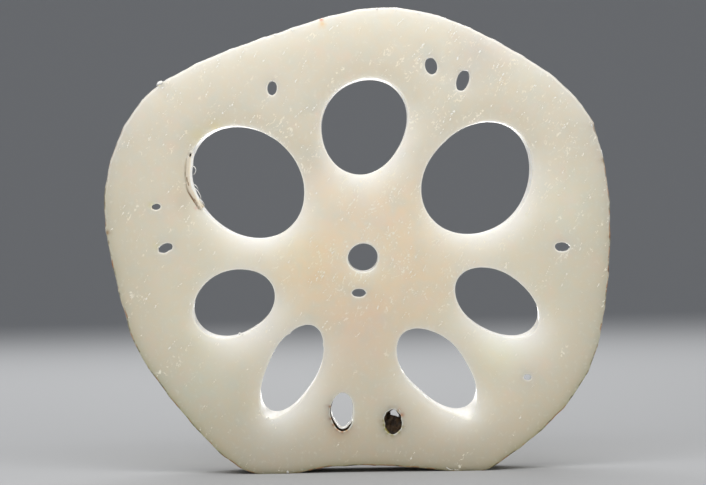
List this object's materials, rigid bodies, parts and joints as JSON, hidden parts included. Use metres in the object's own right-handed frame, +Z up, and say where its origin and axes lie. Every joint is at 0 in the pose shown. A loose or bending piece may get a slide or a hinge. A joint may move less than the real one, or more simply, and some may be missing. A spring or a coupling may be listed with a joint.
{
  "type": "lotus root slice",
  "caption": "Thick peeled slice of lotus root cut straight across, with a ring of oval air channels, standing on its edge.",
  "frame": {"origin": "under the middle of the slice, on the surface that it stands on", "axes": "+Z up, +X across the slice to the right as seen from the front cut, +Y along the root from the front cut to the back cut"},
  "size_m": [0.071, 0.008, 0.0652],
  "materials": {
    "flesh": "moist ivory plant flesh, softly translucent, with fine white fibre flecks; not plastic"
  },
  "bodies": {
    "root": {"lotus_root_slice": "flesh"}
  },
  "joints": []
}
